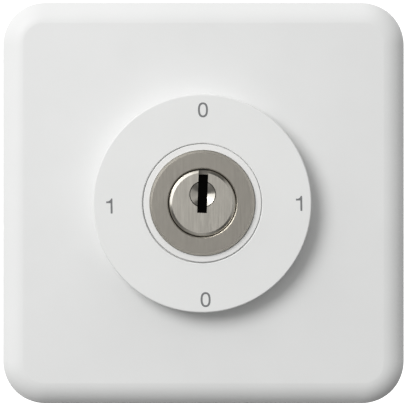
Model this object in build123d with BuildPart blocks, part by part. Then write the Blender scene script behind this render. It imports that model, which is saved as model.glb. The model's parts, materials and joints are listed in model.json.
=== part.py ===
from build123d import *
import os
from math import cos, radians, sin

# A flush-mounted key switch: a square white cover plate, a raised round dial marked 0 1 0 1, a round
# lock cylinder in its middle, and behind the wall a two-pole rotary switch that the lock turns.
#
# Frame: the wall is the plane Y = 0 and the lock's axis is the Y axis. The user stands at -Y, +X is to
# the user's right and +Z is up. Every "height" below is a distance in front of the wall (towards the
# user), so a negative height lies inside the wall box. All sizes are in millimetres.

os.makedirs("parts", exist_ok=True)

# ---- cover plate ----
plate_size = 86.0
plate_shift = (0.24, 0.0)  # the plate hangs a little to the right, within the play of its clips
plate_corner = 9.1
plate_height = 9.0
rim_height = 1.0           # a slightly wider rim runs round the plate where it meets the wall
rim_step = 0.28
rim_overlap = 1.0          # how far the rim reaches into the side walls
plate_draft = 0.12         # how far the side walls lean in over their height
plate_band = 4.1           # width of the pillowed band along the front edges
band_start = 2.0           # degrees of slope where the band leaves the flat front
band_end = 53.0            # and where it meets the small rounding above the side walls
edge_width = 0.25          # width and height of that rounding
edge_height = 0.55
edge_fullness = 0.36       # where its control point lies, as a part of its height
plate_wall = 2.0
edge_wall = 2.2
edge_section = 7.5         # how far in from the edge its cross-section reaches
plate_opening = 21.3       # radius of the hole that the dial's spigot passes through
opening_ring_width = 1.6   # stiffening ring behind that hole
opening_ring_depth = 2.4
plate_side = plate_size - 2 * rim_step
pry_notch_width = 8.0      # notch under the lower edge for prying the plate off
pry_notch_height = 0.7
pry_notch_depth = 3.0
snap_tab_gap = 0.4         # from a snap tab to the mounting frame
snap_tab_wall = 1.4
snap_tab_half = 5.0        # half of its width
snap_tab_foot = 1.6        # height of its end above the wall
snap_nose_reach = 1.2
snap_nose_half = 2.5
snap_nose_heights = (3.2, 4.2)

# ---- dial ----
dial_radius = 23.06
dial_rise = 4.75           # how far the dial stands proud of the plate
dial_seat = plate_height + 0.05
dial_front = dial_seat + dial_rise
dial_wall = 2.1
dial_spigot = plate_opening - 0.3
dial_spigot_wall = 1.6
dial_spigot_depth = 3.0    # how far the whole spigot reaches behind the plate's front
dial_hole = 12.63
dial_rim_radius = 0.3      # roundings of the dial's outer edge and of its hole
dial_hole_rounding = 0.2
dial_shift = (-0.05, -0.06)  # the dial sits a little to the left of the lock and below it
dial_leg_angle = 24.0      # degrees round the axis that each snap leg covers
dial_leg_step = 0.1        # how much thinner a leg is than the spigot, on each face
dial_leg_root = 0.5        # how far a leg is rooted in the spigot
dial_leg_end = 1.6         # height of its end above the wall
dial_hook_reach = 0.4      # clearance of the hook round the carrier, and the thickness of its lip
dial_hook_lip = 0.3
mark_radius = 20.0
mark_shift = (0.45, -0.3)   # the printing sits a little off the dial's centre
mark_turn = 0.8            # and is turned a little, in degrees anticlockwise
mark_depth = 0.3
mark_proud = 0.02
digit_height = 3.15
zero_width = 2.1
digit_stroke = 0.4
one_width = 1.3
one_flag_top = 0.55        # the flag of the 1: how far below its top it starts and ends
one_flag_bottom = 0.95
one_bend = 0.3             # width of the bend at its top

# ---- collar round the lock ----
collar_radius = 12.43
collar_flange = 14.2
collar_rounding = 0.12
part_gap = 0.05            # clearance between moulded or turned parts that lie against each other

# ---- lock cylinder ----
lock_front = dial_front + 1.05
lock_head_radius = 11.06
lock_bevel_width = 0.5     # bevel round the head
lock_bevel_depth = 0.65
lock_mouth_bevel = 0.2     # bevel round the recess for the plug's head
lock_body_radius = 10.3
lock_sleeve_radius = 11.0
lock_fit = 0.03            # clearance of the sleeve on the body
lock_rear = -15.0
plug_head_radius = 7.0
plug_head_depth = 1.25
plug_bevel_width = 0.65    # bevel round the plug's face
plug_bevel_depth = 0.4
plug_end_bevel = 0.4
plug_radius = 6.0
plug_rear = -17.0
plug_gap = 0.25            # visible gap round the plug's head
plug_play = 0.05           # running clearance of the plug in its bore
plug_lean = 2.0            # degrees clockwise that the plug rests from upright
keyway_width = 2.04
keyway_bottom = -2.1
keyway_rear = -11.0
dimple_radius = 2.8
dimple_centre = 1.84       # above the lock's axis, at the middle of the keyway
dimple_depth = 1.5
dimple_tip = 0.35          # radius at the bottom of the cone
dimple_rim = 0.17          # width and depth of the steeper rim
dimple_rim_depth = 0.28
pin_radius = 1.15
pin_play = 0.05
pin_heights = [8.0, 4.0, 0.0, -4.0, -8.0]
pin_point = 1.0            # length of a tumbler pin's cone, and the radius of its tip
pin_tip_radius = 0.45
pin_reach = 0.15           # how far the pins' tips stay back from the keyway's walls
pin_drop = 0.13            # a pin's flat end lies this far below the plug's surface, so its edge clears it
driver_pin_length = 2.2
pin_spring_wire = 0.11     # radius
pin_spring_turns = 4
clip_thickness = 0.7
clip_groove_radius = 5.0
clip_front = lock_rear - 0.2
clip_reach = 1.6           # how far the retaining clip stands out beyond the plug
clip_mouth = 6.0

# ---- driver bar between the lock and the rotor ----
driver_length = 10.6
driver_width = 5.0
driver_seat = plug_rear + 0.7
driver_rear = -20.9
driver_screw_radius = 1.0
driver_screw_head = 1.9
driver_screw_seat = -19.2
driver_screw_end = -12.4
driver_corner = 0.5
screw_clearance = 0.1

# ---- carrier and mounting frame ----
carrier_front = 10.55
carrier_bore = lock_sleeve_radius + part_gap
carrier_radius = 13.5
flange_radius = 19.0
flange_undercut = 18.0
flange_front = 3.8
flange_lip = 2.6
frame_size = 71.0
frame_thickness = 1.2
frame_corner = 4.0
frame_opening = carrier_radius + 0.3
frame_window = 9.0         # lightening windows in the frame's corners, and their spacing
frame_window_corner = 2.0
frame_window_spacing = 51.6
wall_screw_spacing = 60.0
wall_slot_width = 4.2
wall_slot_length = 8.0
clip_tab_offset = 20.0     # of each cover-plate clip from the middle of its side
clip_tab_width = 12.0
clip_tab_top = 5.8
clip_window_width = 6.0
clip_window_heights = (2.9, 4.5)
carrier_screw_circle = 16.2
carrier_screw_head = 2.2
carrier_screw_shank = 1.2
carrier_screw_end = -7.0
screw_hole = 1.35          # clearance hole round a carrier screw
pilot_hole = 1.25          # hole that a screw cuts its thread in
set_screw_height = 6.5
set_screw_radius = 1.6
set_screw_inner = -10.9    # where its cone begins, below the lock's axis
set_screw_length = 6.0
set_screw_cone = 0.9
set_screw_slot = 0.5
boss_half_width = 3.5      # boss on the carrier that the set screw runs through
boss_levels = (-17.2, -12.4)
boss_top = 9.6

# ---- switch body behind the wall plane ----
box_size = 46.0
box_corner = 8.0
box_wall = 1.8
box_split = -18.0
box_rear = -38.0
rear_wall = 2.2
front_wall = 2.4
box_floor = box_rear + rear_wall
housing_screw_offset = 19.0
housing_screw_head = 2.6
housing_screw_shank = 1.2
housing_screw_end = -8.5
housing_screw_hole = 1.5
housing_screw_sink = 2.4
housing_column = 3.2
shell_post_radius = 2.6
shell_post_end = -8.0
shell_column = 3.0
base_edge_rounding = 1.0
bearing_plate_thickness = 2.0
bearing_ring_width = 1.6   # raised ring round the bearing
bearing_ring_height = 0.8
bearing_rear = box_split - bearing_plate_thickness

# ---- rotor and contacts ----
hub_radius = 8.0
hub_front = -17.8
hub_slot_floor = -21.2
hub_slot_play = (0.8, 0.7)  # how much longer and wider the hub's slot is than the driver bar
rotor_flange = 9.5
rotor_flange_width = 1.2
rotor_core = 6.2
rotor_waist = 4.6
rotor_play = 0.05
cam_front = -31.6
cam_rear = -34.9
cam_size = 10.6
cam_corner = 2.4
journal_radius = 3.0
journal_rear = -37.2
detent_thickness = 0.35
detent_gap = 0.06          # between a detent spring and the cam's flat
detent_half_length = 10.2
detent_post_levels = (8.6, 11.2)
detent_post_half = 1.4
detent_slot_end = 10.4
detent_slot_half = 0.25
contact_tiers = (-22.2, -27.0)   # front edge of each contact pair
contact_width = 4.0
bridge_thickness = 0.9
bridge_reach = 11.9
tip_length = 1.5
rivet_face = 12.0                # inner face of each fixed contact
strip_inner = 12.5
strip_thickness = 0.8
strip_overrun = 3.0              # how far a strip runs past the lock's axis
rivet_radius = 1.5
tip_inset = 0.3                  # of a silver tip from the bridge's edges
tip_width = 1.6
tip_rounding = 0.5

# ---- terminals, one in each corner ----
tab_level = 9.5
tab_front = -22.2
tab_rear = -34.5
tab_outer = 20.6
port_size = 3.2
port_corner = 0.7
port_guide = 0.45                # width and depth of the recess round a pair of ports
port_guide_depth = 0.5
port_columns = (14.9, 18.5)
port_level = tab_level + strip_thickness + port_size / 2
button_column = 16.7
button_level = 15.7
button_width = 4.6
button_depth = 2.8
button_out = -39.0               # outer end at rest
button_nose = -33.6
button_hole_gap = 0.1
button_rounding = 0.4
button_shoulder = (0.9, 0.4)     # how much longer and wider the shoulder is than the button
button_shoulder_height = 0.75
button_nose_width = 1.4
button_nose_drop = 0.6
chamber_inner = 12.0
chamber_wall = 1.2
clamp_thickness = 0.4            # leaf of a clamp spring
clamp_width = 6.4
clamp_side = 13.4                # where the leaf begins, from the lock's axis
clamp_leg = (-24.5, 18.2)        # height and level of the leaf's points, from its back leg
clamp_bend_height = 1.9
clamp_knee = (1.6, 17.0)
clamp_tip_height = -29.6

corners = {
    "upper_right": (1, 1),
    "upper_left": (-1, 1),
    "lower_right": (1, -1),
    "lower_left": (-1, -1),
}
diagonals = [45, 135, 225, 315]


def face_at(height):
    """Sketch plane parallel to the wall: local X is right, local Y is up, positive is to the user."""
    return Plane.XZ.offset(height)


def plug_face_at(height):
    """The same plane turned with the plug, which leans a little clockwise."""
    lean = radians(plug_lean)
    return Plane(origin=(0, -height, 0), x_dir=(cos(lean), 0, -sin(lean)), z_dir=(0, -1, 0))


def profile_at(angle=0.0):
    """Plane through the lock's axis: local X is the radius, local Y is the height."""
    turn = radians(angle)
    return Plane(origin=(0, 0, 0), x_dir=(cos(turn), 0, sin(turn)), z_dir=(sin(turn), 0, -cos(turn)))


def turned(*points, angle=0.0, arc=360.0, mode=Mode.ADD):
    """Revolves a closed outline of (radius, height) points about the lock's axis."""
    with BuildSketch(profile_at(angle)) as outline:
        with BuildLine():
            Polyline(*points, close=True)
        make_face()
    revolve(outline.sketch, axis=Axis.Y, revolution_arc=arc, mode=mode)


def block(x, z, heights, mode=Mode.ADD):
    """A rectangular block from its two X values, two Z values and two heights."""
    with BuildSketch(face_at(min(heights))) as outline:
        with Locations(((x[0] + x[1]) / 2, (z[0] + z[1]) / 2)):
            Rectangle(abs(x[1] - x[0]), abs(z[1] - z[0]))
    extrude(outline.sketch, amount=abs(heights[1] - heights[0]), mode=mode)


def round_posts(points, radius, start, end, mode=Mode.ADD):
    """Round posts or holes along the lock's axis, between two heights."""
    with BuildSketch(face_at(start)) as outline:
        with Locations(*points):
            Circle(radius)
    extrude(outline.sketch, amount=end - start, mode=mode)


def pan_head_screws(points, seat, head_radius, head_height, shank_radius, shank_end):
    """Cross-recessed pan-head screws along the lock's axis. Their heads point away from the shank's end."""
    outward = 1 if seat > shank_end else -1
    head_top = seat + outward * head_height
    round_posts(points, head_radius, seat, head_top)
    tops = faces().filter_by(Axis.Y).group_by(Axis.Y)[0 if outward > 0 else -1]
    fillet(tops.edges(), head_height * 0.45)
    round_posts(points, shank_radius, seat, shank_end)
    with BuildSketch(face_at(head_top)) as recess:
        with Locations(*points):
            Rectangle(head_radius * 1.2, head_radius * 0.3)
            Rectangle(head_radius * 0.3, head_radius * 1.2)
    extrude(recess.sketch, amount=-outward * head_height * 0.55, mode=Mode.SUBTRACT)


def oval(half_width, half_height, fullness=0.66):
    """An upright oval with its corners filled out a little: a fullness of 0.55 would be an ellipse."""
    points = [Vector(half_width, 0), Vector(0, half_height), Vector(-half_width, 0), Vector(0, -half_height)]
    with BuildSketch() as outline:
        with BuildLine():
            for first, last in zip(points, points[1:] + points[:1]):
                Bezier(first, first + last * fullness, last + first * fullness, last)
        make_face()
    return outline.sketch


def draw_zero(x, y):
    """The digit 0 in the current sketch, about a centre."""
    with BuildSketch(mode=Mode.PRIVATE) as zero:
        add(oval(zero_width / 2, digit_height / 2))
        add(oval(zero_width / 2 - digit_stroke, digit_height / 2 - digit_stroke), mode=Mode.SUBTRACT)
    with Locations((x, y)):
        add(zero.sketch)


def draw_one(x, y):
    """The digit 1 in the current sketch: a stem with a curved flag, about a centre."""
    top, right, left = digit_height / 2, one_width / 2, -one_width / 2
    stem = right - digit_stroke
    flag_top, flag_bottom = top - one_flag_top, top - one_flag_bottom
    bend_start = (right - one_bend, top)
    bend_middle = (stem - one_bend * 0.4, flag_top + one_bend * 0.57)
    with BuildSketch(mode=Mode.PRIVATE) as one:
        with BuildLine():
            Line((stem, -top), (right, -top))
            Line((right, -top), (right, top))
            Line((right, top), bend_start)
            ThreePointArc(bend_start, bend_middle, (left, flag_top))
            Line((left, flag_top), (left, flag_bottom))
            Line((left, flag_bottom), (stem, flag_bottom))
            Line((stem, flag_bottom), (stem, -top))
        make_face()
    with Locations((x, y)):
        add(one.sketch)


def draw_marks():
    """0 at the top and bottom and 1 at the sides, drawn upright in the current sketch."""
    draw_zero(0, mark_radius)
    draw_zero(0, -mark_radius)
    draw_one(mark_radius, 0)
    draw_one(-mark_radius, 0)


def mark_plane(height):
    """Where the digits are printed: a little off centre and a little turned."""
    turn = radians(mark_turn)
    return Plane(
        origin=(mark_shift[0], -height, mark_shift[1]),
        x_dir=(cos(turn), 0, sin(turn)),
        z_dir=(0, -1, 0),
    )


# =====================================================================================================
# Front: cover plate, dial, collar
# =====================================================================================================

cavity_height = plate_height - plate_wall
start_slope, end_slope = radians(band_start), radians(band_end)
band_radius = plate_band / (sin(end_slope) - sin(start_slope))
band_drop = band_radius * (cos(start_slope) - cos(end_slope))
middle_slope = (start_slope + end_slope) / 2
band_outer = plate_draft + edge_width
band_inner = band_outer + plate_band
band_middle = (
    plate_height - band_radius * (cos(start_slope) - cos(middle_slope)),
    -band_inner + band_radius * (sin(middle_slope) - sin(start_slope)),
)
side_top = plate_height - band_drop     # where the band ends, above the side wall
half_side = plate_side / 2

middle_size = plate_side - 2 * edge_section + 1     # laps 0.5 mm over the edge's cross-section
inner_rim = plate_side - 2 * rim_overlap

with BuildPart() as cover_plate:
    # the plate's edge: one cross-section carried round the rounded square
    with BuildLine(face_at(0)) as side_path:
        FilletPolyline(
            (half_side, -half_side),
            (half_side, half_side),
            (-half_side, half_side),
            (-half_side, -half_side),
            radius=plate_corner - rim_step,
            close=True,
        )
    section_plane = Plane(origin=side_path.line @ 0, x_dir=(0, -1, 0), z_dir=side_path.line % 0)
    with BuildSketch(section_plane):
        with BuildLine():
            Line((0, 0), (side_top - edge_height, -plate_draft))
            Bezier(
                (side_top - edge_height, -plate_draft),
                (side_top - edge_height * edge_fullness, -plate_draft),
                (side_top, -band_outer),
            )
            ThreePointArc((side_top, -band_outer), band_middle, (plate_height, -band_inner))
            Line((plate_height, -band_inner), (plate_height, -edge_section))
            Line((plate_height, -edge_section), (cavity_height, -edge_section))
            Line((cavity_height, -edge_section), (cavity_height, -band_inner))
            Line((cavity_height, -band_inner), (side_top - plate_wall, -edge_wall))
            Line((side_top - plate_wall, -edge_wall), (0, -edge_wall))
            Line((0, -edge_wall), (0, 0))
        make_face()
    sweep(path=side_path.line)
    with BuildSketch(face_at(cavity_height)):
        Rectangle(middle_size, middle_size)
    extrude(amount=plate_wall)
    # the rim at the wall
    with BuildSketch(face_at(0)):
        RectangleRounded(plate_size, plate_size, plate_corner)
        RectangleRounded(inner_rim, inner_rim, plate_corner - rim_step - rim_overlap, mode=Mode.SUBTRACT)
    extrude(amount=rim_height)
    round_posts([(0, 0)], plate_opening, 0, plate_height, mode=Mode.SUBTRACT)
    # a stiffening ring behind the opening
    with BuildSketch(face_at(cavity_height)):
        Circle(plate_opening + opening_ring_width)
        Circle(plate_opening, mode=Mode.SUBTRACT)
    extrude(amount=-opening_ring_depth)
    # four snap tabs whose noses catch in the windows of the mounting frame
    for side, level in corners.values():
        z_middle = level * clip_tab_offset
        tab_inner = side * (frame_size / 2 + snap_tab_gap)
        tab_outer_x = tab_inner + side * snap_tab_wall
        tab_z = (z_middle - snap_tab_half, z_middle + snap_tab_half)
        nose_z = (z_middle - snap_nose_half, z_middle + snap_nose_half)
        block((tab_inner, tab_outer_x), tab_z, (snap_tab_foot, cavity_height))
        block((tab_inner - side * snap_nose_reach, tab_outer_x), nose_z, snap_nose_heights)
    # a notch in the lower edge for prying the plate off
    block(
        (-pry_notch_width / 2, pry_notch_width / 2),
        (-plate_size / 2 - 1, -plate_size / 2 + pry_notch_depth),
        (0, pry_notch_height),
        mode=Mode.SUBTRACT,
    )
placed_plate = cover_plate.part.moved(Location((plate_shift[0], 0, plate_shift[1])))
placed_plate.label = "cover_plate"
export_step(placed_plate, "parts/cover_plate.step")

dial_place = Location((dial_shift[0], 0, dial_shift[1]))

with BuildPart() as dial_marks:
    with BuildSketch(mark_plane(dial_front - mark_depth)):
        draw_marks()
    extrude(amount=mark_depth + mark_proud)
placed_marks = dial_marks.part.moved(dial_place)
placed_marks.label = "dial_marks"
export_step(placed_marks, "parts/dial_marks.step")

spigot_inner = dial_spigot - dial_spigot_wall
spigot_end = plate_height - dial_spigot_depth
leg_root = spigot_end + dial_leg_root
leg_outer = dial_spigot - dial_leg_step
leg_inner = spigot_inner + dial_leg_step
hook_top = flange_lip - 0.1
hook_inner = flange_undercut + dial_hook_reach

with BuildPart() as dial_disc:
    turned(
        (dial_hole, dial_front - dial_wall),
        (spigot_inner, dial_front - dial_wall),
        (spigot_inner, spigot_end),
        (dial_spigot, spigot_end),
        (dial_spigot, dial_seat),
        (dial_radius, dial_seat),
        (dial_radius, dial_front),
        (dial_hole, dial_front),
    )
    rims = faces().sort_by(Axis.Y)[0].edges().sort_by(SortBy.RADIUS)
    fillet(rims[-1], dial_rim_radius)
    fillet(rims[0], dial_hole_rounding)
    # snap legs that hook under the carrier's flange and so hold the cover plate on
    for angle in diagonals:
        turned(
            (leg_outer, leg_root),
            (leg_inner, leg_root),
            (leg_inner, hook_top),
            (hook_inner, hook_top),
            (hook_inner, hook_top - dial_hook_lip),
            (leg_inner, dial_leg_end),
            (leg_outer, dial_leg_end),
            angle=angle - dial_leg_angle / 2,
            arc=dial_leg_angle,
        )
    with BuildSketch(mark_plane(dial_front - mark_depth)):
        draw_marks()
    extrude(amount=mark_depth + 1, mode=Mode.SUBTRACT)
placed_dial = dial_disc.part.moved(dial_place)
placed_dial.label = "dial_disc"
export_step(placed_dial, "parts/dial_disc.step")

collar_bore = lock_head_radius + part_gap
collar_rear = carrier_front + part_gap
collar_step = dial_front - dial_wall - part_gap
with BuildPart() as collar_ring:
    turned(
        (collar_bore, collar_rear),
        (collar_flange, collar_rear),
        (collar_flange, collar_step),
        (collar_radius, collar_step),
        (collar_radius, dial_front),
        (collar_bore, dial_front),
    )
    fillet(faces().sort_by(Axis.Y)[0].edges(), collar_rounding)
collar_ring.part.label = "collar_ring"
export_step(collar_ring.part, "parts/collar_ring.step")

# =====================================================================================================
# Lock cylinder: housing, sleeve, plug, pins
# =====================================================================================================

plug_bore = plug_radius + plug_play
head_bore = plug_head_radius + plug_gap
head_floor = lock_front - plug_head_depth - part_gap
head_seat = carrier_front + 0.02
set_screw_seat = (1.5, 0.1, 1.4)     # radii and depth of the conical seat for the set screw's tip

with BuildPart() as lock_housing:
    turned(
        (plug_bore, lock_rear),
        (lock_body_radius, lock_rear),
        (lock_body_radius, head_seat),
        (lock_head_radius, head_seat),
        (lock_head_radius, lock_front - lock_bevel_depth),
        (lock_head_radius - lock_bevel_width, lock_front),
        (head_bore + lock_mouth_bevel, lock_front),
        (head_bore, lock_front - lock_mouth_bevel),
        (head_bore, head_floor),
        (plug_bore, head_floor),
    )
    for height in pin_heights:
        with Locations(Location((0, -height, 0), (0, 90, 0))):
            Cylinder(pin_radius + pin_play, 2 * lock_body_radius + 2, mode=Mode.SUBTRACT)
    with Locations((0, -set_screw_height, -lock_body_radius)):
        Cone(*set_screw_seat, mode=Mode.SUBTRACT, align=(Align.CENTER, Align.CENTER, Align.MIN))
lock_housing.part.label = "lock_housing"
export_step(lock_housing.part, "parts/lock_housing.step")

with BuildPart() as lock_sleeve:
    turned(
        (lock_body_radius + lock_fit, lock_rear),
        (lock_sleeve_radius, lock_rear),
        (lock_sleeve_radius, carrier_front - part_gap),
        (lock_body_radius + lock_fit, carrier_front - part_gap),
    )
    with Locations((0, -set_screw_height, -lock_sleeve_radius)):
        Cylinder(set_screw_radius + 0.1, 4, mode=Mode.SUBTRACT)
lock_sleeve.part.label = "lock_sleeve"
export_step(lock_sleeve.part, "parts/lock_sleeve.step")

with BuildPart() as lock_plug:
    turned(
        (0, plug_rear),
        (plug_radius - plug_end_bevel, plug_rear),
        (plug_radius, plug_rear + plug_end_bevel),
        (plug_radius, clip_front - clip_thickness - part_gap),
        (clip_groove_radius, clip_front - clip_thickness - part_gap),
        (clip_groove_radius, clip_front + part_gap),
        (plug_radius, clip_front + part_gap),
        (plug_radius, lock_front - plug_head_depth),
        (plug_head_radius, lock_front - plug_head_depth),
        (plug_head_radius, lock_front - plug_bevel_depth),
        (plug_head_radius - plug_bevel_width, lock_front),
        (0, lock_front),
    )
    # the keyway breaks out through the top of the plug
    with BuildSketch(plug_face_at(lock_front)):
        with Locations((0, keyway_bottom)):
            Rectangle(keyway_width, 10, align=(Align.CENTER, Align.MIN))
    extrude(amount=-(lock_front - keyway_rear), mode=Mode.SUBTRACT)
    # conical lead-in round the middle of the keyway
    lean = radians(plug_lean)
    dimple_x, dimple_z = dimple_centre * sin(lean), dimple_centre * cos(lean)
    cone_mouth = dimple_radius - dimple_rim
    from_front = (Align.CENTER, Align.CENTER, Align.MAX)
    with Locations(Location((dimple_x, -lock_front, dimple_z), (90, 0, 0))):
        Cone(cone_mouth, dimple_radius, dimple_rim_depth, mode=Mode.SUBTRACT, align=from_front)
    with Locations(Location((dimple_x, dimple_rim_depth - lock_front, dimple_z), (90, 0, 0))):
        Cone(dimple_tip, cone_mouth, dimple_depth - dimple_rim_depth, mode=Mode.SUBTRACT, align=from_front)
    for height in pin_heights:
        with Locations(Location((0, -height, 0), (0, 90 + plug_lean, 0))):
            Cylinder(pin_radius + pin_play, 2 * plug_radius + 2, mode=Mode.SUBTRACT)
    # a slot across the rear end, and a hole for the screw, hold the driver bar
    with BuildSketch(plug_face_at(plug_rear)):
        Rectangle(3 * plug_radius, driver_width + 2 * part_gap)
    extrude(amount=driver_seat - plug_rear, mode=Mode.SUBTRACT)
    thread_end = driver_screw_end + 0.2
    round_posts([(0, 0)], driver_screw_radius + lock_fit, plug_rear, thread_end, mode=Mode.SUBTRACT)
lock_plug.part.label = "lock_plug"
export_step(lock_plug.part, "parts/lock_plug.step")

# The pins stand at the shear line, as they do with the right key in. Each is turned to a blunt cone.
tumbler_tip = keyway_width / 2 + pin_reach
tumbler_shoulder = tumbler_tip + pin_point
tumbler_length = plug_radius - pin_drop - tumbler_shoulder
upward = (Align.CENTER, Align.CENTER, Align.MIN)
with BuildPart() as tumbler_pins:
    for height in pin_heights:
        for side in (0, 180):
            place = Location((0, -height, 0), (0, 90 + plug_lean + side, 0))
            with Locations(place * Location((0, 0, tumbler_shoulder))):
                Cylinder(pin_radius, tumbler_length, align=upward)
            with Locations(place * Location((0, 0, tumbler_tip))):
                Cone(pin_tip_radius, pin_radius, pin_point, align=upward)
tumbler_pins.part.label = "tumbler_pins"
export_step(tumbler_pins.part, "parts/tumbler_pins.step")

driver_pin_start = plug_bore + part_gap
with BuildPart() as driver_pins:
    for height in pin_heights:
        for side in (0, 180):
            place = Location((0, -height, 0), (0, 90 + side, 0))
            with Locations(place * Location((0, 0, driver_pin_start))):
                Cylinder(pin_radius, driver_pin_length, align=upward)
driver_pins.part.label = "driver_pins"
export_step(driver_pins.part, "parts/driver_pins.step")

spring_start = driver_pin_start + driver_pin_length + pin_spring_wire + 0.02
spring_length = lock_body_radius - spring_start - pin_spring_wire
coil_radius = pin_radius - pin_spring_wire - 0.1
with BuildPart() as one_pin_spring:
    with BuildLine() as coil:
        Helix(pitch=spring_length / pin_spring_turns, height=spring_length, radius=coil_radius)
    with BuildSketch(Plane(origin=coil.line @ 0, z_dir=coil.line % 0)):
        Circle(pin_spring_wire)
    sweep(path=coil.line, is_frenet=True)

with BuildPart() as pin_springs:
    for height in pin_heights:
        for side in (0, 180):
            place = Location((0, -height, 0), (0, 90 + side, 0))
            with Locations(place * Location((0, 0, spring_start))):
                add(one_pin_spring.part)
pin_springs.part.label = "pin_springs"
export_step(pin_springs.part, "parts/pin_springs.step")

with BuildPart() as plug_clip:
    with BuildSketch(face_at(clip_front)):
        Circle(plug_radius + clip_reach)
        Circle(clip_groove_radius + part_gap, mode=Mode.SUBTRACT)
        with Locations((0, -plug_radius)):
            Rectangle(clip_mouth, clip_groove_radius, mode=Mode.SUBTRACT)
    extrude(amount=-clip_thickness)
plug_clip.part.label = "plug_clip"
export_step(plug_clip.part, "parts/plug_clip.step")

driver_front = driver_seat - lock_fit
with BuildPart() as lock_driver:
    with BuildSketch(plug_face_at(driver_front)):
        Rectangle(driver_length, driver_width)
        fillet(vertices(), driver_corner)
    extrude(amount=driver_rear - driver_front)
    shank_hole = driver_screw_radius + screw_clearance
    head_hole = driver_screw_head + screw_clearance
    round_posts([(0, 0)], shank_hole, driver_front, driver_rear, mode=Mode.SUBTRACT)
    round_posts([(0, 0)], head_hole, driver_screw_seat, driver_rear, mode=Mode.SUBTRACT)
lock_driver.part.label = "lock_driver"
export_step(lock_driver.part, "parts/lock_driver.step")

with BuildPart() as driver_screw:
    pan_head_screws(
        [(0, 0)], driver_screw_seat, driver_screw_head, 1.5, driver_screw_radius, driver_screw_end
    )
driver_screw.part.label = "driver_screw"
export_step(driver_screw.part, "parts/driver_screw.step")

# =====================================================================================================
# Carrier, mounting frame and their screws
# =====================================================================================================

screw_points = [
    (carrier_screw_circle * cos(radians(a)), carrier_screw_circle * sin(radians(a))) for a in diagonals
]

flange_foot = frame_thickness + 0.02
with BuildPart() as cylinder_carrier:
    turned(
        (carrier_bore, lock_rear),
        (carrier_radius, lock_rear),
        (carrier_radius, flange_foot),
        (flange_undercut, flange_foot),
        (flange_undercut, flange_lip),
        (flange_radius, flange_lip),
        (flange_radius, flange_front),
        (carrier_radius, flange_front),
        (carrier_radius, carrier_front),
        (carrier_bore, carrier_front),
    )
    # a boss under the tube gives the set screw enough thread
    block((-boss_half_width, boss_half_width), boss_levels, (flange_front - 0.5, boss_top))
    with Locations((0, -set_screw_height, -lock_sleeve_radius)):
        Cylinder(set_screw_radius, 15, mode=Mode.SUBTRACT)
    round_posts(screw_points, screw_hole, 0, flange_front, mode=Mode.SUBTRACT)
cylinder_carrier.part.label = "cylinder_carrier"
export_step(cylinder_carrier.part, "parts/cylinder_carrier.step")

with BuildPart() as cylinder_set_screw:
    with Locations((0, -set_screw_height, set_screw_inner)):
        Cylinder(set_screw_radius - lock_fit, set_screw_length, align=(Align.CENTER, Align.CENTER, Align.MAX))
        Cone(set_screw_radius - 0.3, set_screw_slot, set_screw_cone, align=upward)
    with Locations((0, -set_screw_height, set_screw_inner - set_screw_length)):
        Box(3 * set_screw_radius, set_screw_slot, set_screw_radius, mode=Mode.SUBTRACT)
cylinder_set_screw.part.label = "cylinder_set_screw"
export_step(cylinder_set_screw.part, "parts/cylinder_set_screw.step")

half_spacing = wall_screw_spacing / 2
with BuildPart() as mounting_frame:
    with BuildSketch(face_at(0)):
        RectangleRounded(frame_size, frame_size, frame_corner)
        Circle(frame_opening, mode=Mode.SUBTRACT)
        with Locations((half_spacing, 0), (-half_spacing, 0)):
            SlotOverall(wall_slot_length, wall_slot_width, mode=Mode.SUBTRACT)
        with Locations((0, half_spacing), (0, -half_spacing)):
            SlotOverall(wall_slot_length, wall_slot_width, rotation=90, mode=Mode.SUBTRACT)
        # lightening windows in the corners
        with GridLocations(frame_window_spacing, frame_window_spacing, 2, 2):
            RectangleRounded(frame_window, frame_window, frame_window_corner, mode=Mode.SUBTRACT)
    extrude(amount=frame_thickness)
    round_posts(screw_points, screw_hole, 0, frame_thickness, mode=Mode.SUBTRACT)
    # upturned tabs with windows for the cover plate's noses
    for side, level in corners.values():
        outer = side * frame_size / 2
        inner = outer - side * frame_thickness
        z_middle = level * clip_tab_offset
        half_tab, half_window = clip_tab_width / 2, clip_window_width / 2
        block((inner, outer), (z_middle - half_tab, z_middle + half_tab), (0, clip_tab_top))
        block(
            (inner - side, outer + side),
            (z_middle - half_window, z_middle + half_window),
            clip_window_heights,
            mode=Mode.SUBTRACT,
        )
mounting_frame.part.label = "mounting_frame"
export_step(mounting_frame.part, "parts/mounting_frame.step")

with BuildPart() as carrier_screws:
    pan_head_screws(
        screw_points, flange_front, carrier_screw_head, 1.6, carrier_screw_shank, carrier_screw_end
    )
carrier_screws.part.label = "carrier_screws"
export_step(carrier_screws.part, "parts/carrier_screws.step")

# =====================================================================================================
# Switch body: front shell, bearing plate, contact base
# =====================================================================================================

inner_size = box_size - 2 * box_wall
housing_screw_points = [(0, housing_screw_offset), (0, -housing_screw_offset)]

with BuildPart() as switch_front_shell:
    with BuildSketch(face_at(0)):
        RectangleRounded(box_size, box_size, box_corner)
    extrude(amount=box_split)
    with BuildSketch(face_at(-front_wall)):
        RectangleRounded(inner_size, inner_size, box_corner - box_wall)
    extrude(amount=box_split + front_wall, mode=Mode.SUBTRACT)
    round_posts(screw_points, shell_post_radius, -front_wall, shell_post_end)
    round_posts(housing_screw_points, shell_column, -front_wall, box_split)
    round_posts([(0, 0)], frame_opening, 0, box_split, mode=Mode.SUBTRACT)
    round_posts(screw_points, pilot_hole, 0, shell_post_end, mode=Mode.SUBTRACT)
    pilot_end = housing_screw_end + 2.5
    round_posts(housing_screw_points, pilot_hole, pilot_end, box_split, mode=Mode.SUBTRACT)
switch_front_shell.part.label = "switch_front_shell"
export_step(switch_front_shell.part, "parts/switch_front_shell.step")

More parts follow.
